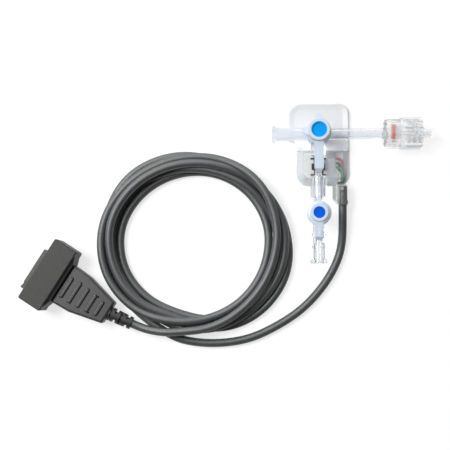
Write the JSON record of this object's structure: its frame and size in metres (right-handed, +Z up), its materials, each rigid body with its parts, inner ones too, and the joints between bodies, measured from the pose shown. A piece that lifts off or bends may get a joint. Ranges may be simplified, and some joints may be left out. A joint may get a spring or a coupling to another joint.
{
  "type": "stopcock manifold",
  "caption": "Fluid line manifold with turning stopcocks and luer ports on a back plate, with a pressure sensor, its coiled cable and the cable's connector.",
  "frame": {"origin": "under the upper stopcock's axis, on the underside of the back plate", "axes": "+X along the line towards the rotating male luer, +Y away from the lower stopcock, +Z up along the stopcocks' axes"},
  "size_m": [0.1829, 0.11, 0.0229],
  "materials": {
    "white_plastic": "moulded, slightly glossy white",
    "cover_plastic": "translucent moulded shell",
    "clear_plastic": "clear moulded polycarbonate",
    "board_ceramic": "pale fired ceramic",
    "die_grey": "grey sensing chip under gel",
    "resistor_grey": "grey thick film",
    "black_elastomer": "black moulded elastomer",
    "slate_plastic": "slate grey",
    "wire_red": "insulation",
    "wire_green": "insulation",
    "wire_white": "insulation",
    "wire_black": "insulation",
    "gland_plastic": "clear grey moulding",
    "pin_metal": "moulded pin",
    "orange_rubber": "orange silicone",
    "azure_plastic": "azure moulded",
    "royal_blue_plastic": "royal blue moulded",
    "pale_blue_plastic": "pale blue translucent",
    "cable_jacket": "satin dark grey jacket",
    "connector_grey": "fine matt dark grey",
    "contact_metal": "plated",
    "relief_rubber": "soft black overmould"
  },
  "bodies": {
    "manifold": {"back_plate": "white_plastic", "sensor_cover": "cover_plastic", "manifold_body": "clear_plastic", "sensor_board": "board_ceramic", "sensor_die": "die_grey", "trim_resistor": "resistor_grey", "sensor_gasket": "black_elastomer", "contact_strip": "slate_plastic", "red_wire": "wire_red", "green_wire": "wire_green", "white_wire": "wire_white", "black_wire": "wire_black", "cable_gland": "gland_plastic", "gland_pin": "pin_metal", "lower_stopcock_body": "clear_plastic", "rotator_cap": "clear_plastic", "cable_lead": "cable_jacket", "cable_coil": "cable_jacket", "cable_tail": "cable_jacket", "plug_shell": "connector_grey", "plug_nose": "connector_grey", "plug_contacts": "contact_metal", "plug_grip": "connector_grey", "plug_strain_relief": "relief_rubber"},
    "upper_valve": {"upper_plug": "azure_plastic", "upper_handle": "pale_blue_plastic"},
    "lower_valve": {"lower_plug": "royal_blue_plastic", "lower_handle": "pale_blue_plastic"},
    "luer_lock": {"rotator_collar": "clear_plastic", "rotator_o_ring": "orange_rubber"}
  },
  "joints": [
    {"name": "upper_valve_turn", "type": "hinge", "parent": "manifold", "child": "upper_valve", "pos_m": [0, 0, 0.009], "axis": [0, 0, 1], "continuous": true},
    {"name": "lower_valve_turn", "type": "hinge", "parent": "manifold", "child": "lower_valve", "pos_m": [0, -0.0356, 0.009], "axis": [0, 0, 1], "continuous": true},
    {"name": "luer_lock_turn", "type": "hinge", "parent": "manifold", "child": "luer_lock", "pos_m": [0.0357, 0, 0.009], "axis": [1, 0, 0], "continuous": true}
  ]
}
